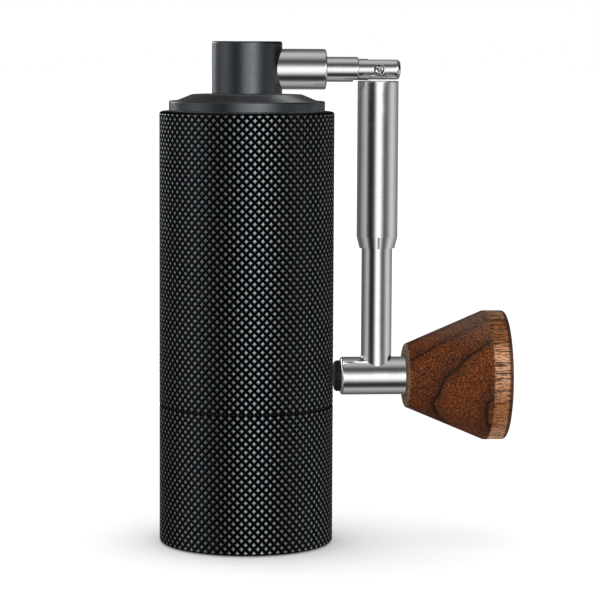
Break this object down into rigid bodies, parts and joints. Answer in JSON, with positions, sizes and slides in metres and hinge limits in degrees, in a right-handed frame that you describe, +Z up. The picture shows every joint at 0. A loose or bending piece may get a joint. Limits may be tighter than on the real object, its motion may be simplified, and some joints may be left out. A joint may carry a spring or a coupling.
{
  "type": "hand crank coffee grinder",
  "caption": "Slim cylindrical hand coffee grinder with a knurled black barrel and cup and a steel crank arm that folds down beside it to a wooden knob.",
  "frame": {"origin": "centre of the face that the cup stands on", "axes": "+Z up along the axis of the barrel, +X from the barrel towards the crank arm and its knob, +Y to the back"},
  "size_m": [0.1022, 0.051, 0.1469],
  "materials": {
    "knurled_black": "black anodised, cross knurled",
    "satin_black": "black anodised, fine blasted",
    "polished_steel": "polished",
    "machined_steel": "machined",
    "burr_steel": "ground",
    "spring_steel": "bright",
    "black_steel": "black oxide",
    "holder_aluminium": "clear anodised",
    "brass": "turned",
    "white_polymer": "low friction polymer",
    "black_rubber": "matte",
    "walnut": "oiled walnut"
  },
  "bodies": {
    "cup": {"grounds_cup": "knurled_black", "foot_pad": "black_rubber"},
    "barrel": {"outer_shell": "knurled_black", "inner_barrel": "machined_steel", "cup_seal": "black_rubber", "burr_holder": "holder_aluminium", "ring_burr": "burr_steel", "burr_screws": "machined_steel", "lower_bridge": "machined_steel", "upper_bridge": "machined_steel", "bearing_outer_rings": "polished_steel"},
    "balls": {"bearing_balls": "polished_steel", "bearing_cages": "brass"},
    "shaft": {"drive_shaft": "machined_steel", "bearing_inner_rings": "polished_steel", "shaft_circlips": "black_steel", "spring_washer": "machined_steel", "burr_spring": "spring_steel"},
    "cone": {"cone_burr": "burr_steel", "click_plate": "machined_steel"},
    "dial": {"adjusting_dial": "satin_black", "detent_balls": "polished_steel", "detent_springs": "spring_steel"},
    "lid": {"lid_cover": "satin_black", "lid_seal": "black_rubber", "lid_bush": "white_polymer"},
    "crank": {"hub": "satin_black", "drive_socket": "machined_steel", "thrust_washer": "machined_steel", "hub_circlip": "black_steel", "arm_root": "polished_steel", "arm_screw": "black_steel", "hinge_pin": "polished_steel"},
    "arm": {"arm_rod": "polished_steel", "cross_tube": "polished_steel", "bumper": "black_rubber", "sleeve_spring": "spring_steel", "knob_bolt": "machined_steel", "knob_washer": "machined_steel"},
    "sleeve": {"lock_sleeve": "polished_steel"},
    "knob": {"knob": "walnut", "knob_bushes": "brass"}
  },
  "joints": [
    {"name": "barrel_lift", "type": "slide", "parent": "cup", "child": "barrel", "axis": [0, 0, 1], "range_m": [0, 0.045]},
    {"name": "lid_lift", "type": "slide", "parent": "barrel", "child": "lid", "axis": [0, 0, 1], "range_m": [0, 0.03]},
    {"name": "crank_spin", "type": "hinge", "parent": "lid", "child": "crank", "pos_m": [0, 0, 0.1388], "axis": [0, 0, 1], "continuous": true},
    {"name": "arm_fold", "type": "hinge", "parent": "crank", "child": "arm", "pos_m": [0.0383, 0, 0.1388], "axis": [0, -1, 0], "range_deg": [0, 90]},
    {"name": "sleeve_slide", "type": "slide", "parent": "arm", "child": "sleeve", "axis": [0, 0, -1], "range_m": [0, 0.01021], "stiffness_N_per_m": 60, "springref_m": -0.005, "deforming": ["sleeve_spring"]},
    {"name": "knob_spin", "type": "hinge", "parent": "arm", "child": "knob", "pos_m": [0.06, 0, 0.0489], "axis": [1, 0, 0], "continuous": true},
    {"name": "shaft_spin", "type": "hinge", "parent": "barrel", "child": "shaft", "pos_m": [0, 0, 0.09], "axis": [0, 0, 1], "continuous": true},
    {"name": "ball_spin", "type": "hinge", "parent": "barrel", "child": "balls", "pos_m": [0, 0, 0.09], "axis": [0, 0, 1], "continuous": true},
    {"name": "cone_travel", "type": "slide", "parent": "shaft", "child": "cone", "axis": [0, 0, 1], "range_m": [-0.00125, 0.00063], "deforming": ["burr_spring"]},
    {"name": "dial_turn", "type": "hinge", "parent": "cone", "child": "dial", "pos_m": [0, 0, 0.04], "axis": [0, 0, 1], "range_deg": [-600, 300]}
  ],
  "couplings": [
    {"joint": "shaft_spin", "follows": "crank_spin", "ratio": 1},
    {"joint": "ball_spin", "follows": "crank_spin", "ratio": 0.376},
    {"joint": "arm_fold", "follows": "sleeve_slide", "rad_per_m": 153.85},
    {"joint": "dial_turn", "follows": "cone_travel", "rad_per_m": 8377.6}
  ]
}
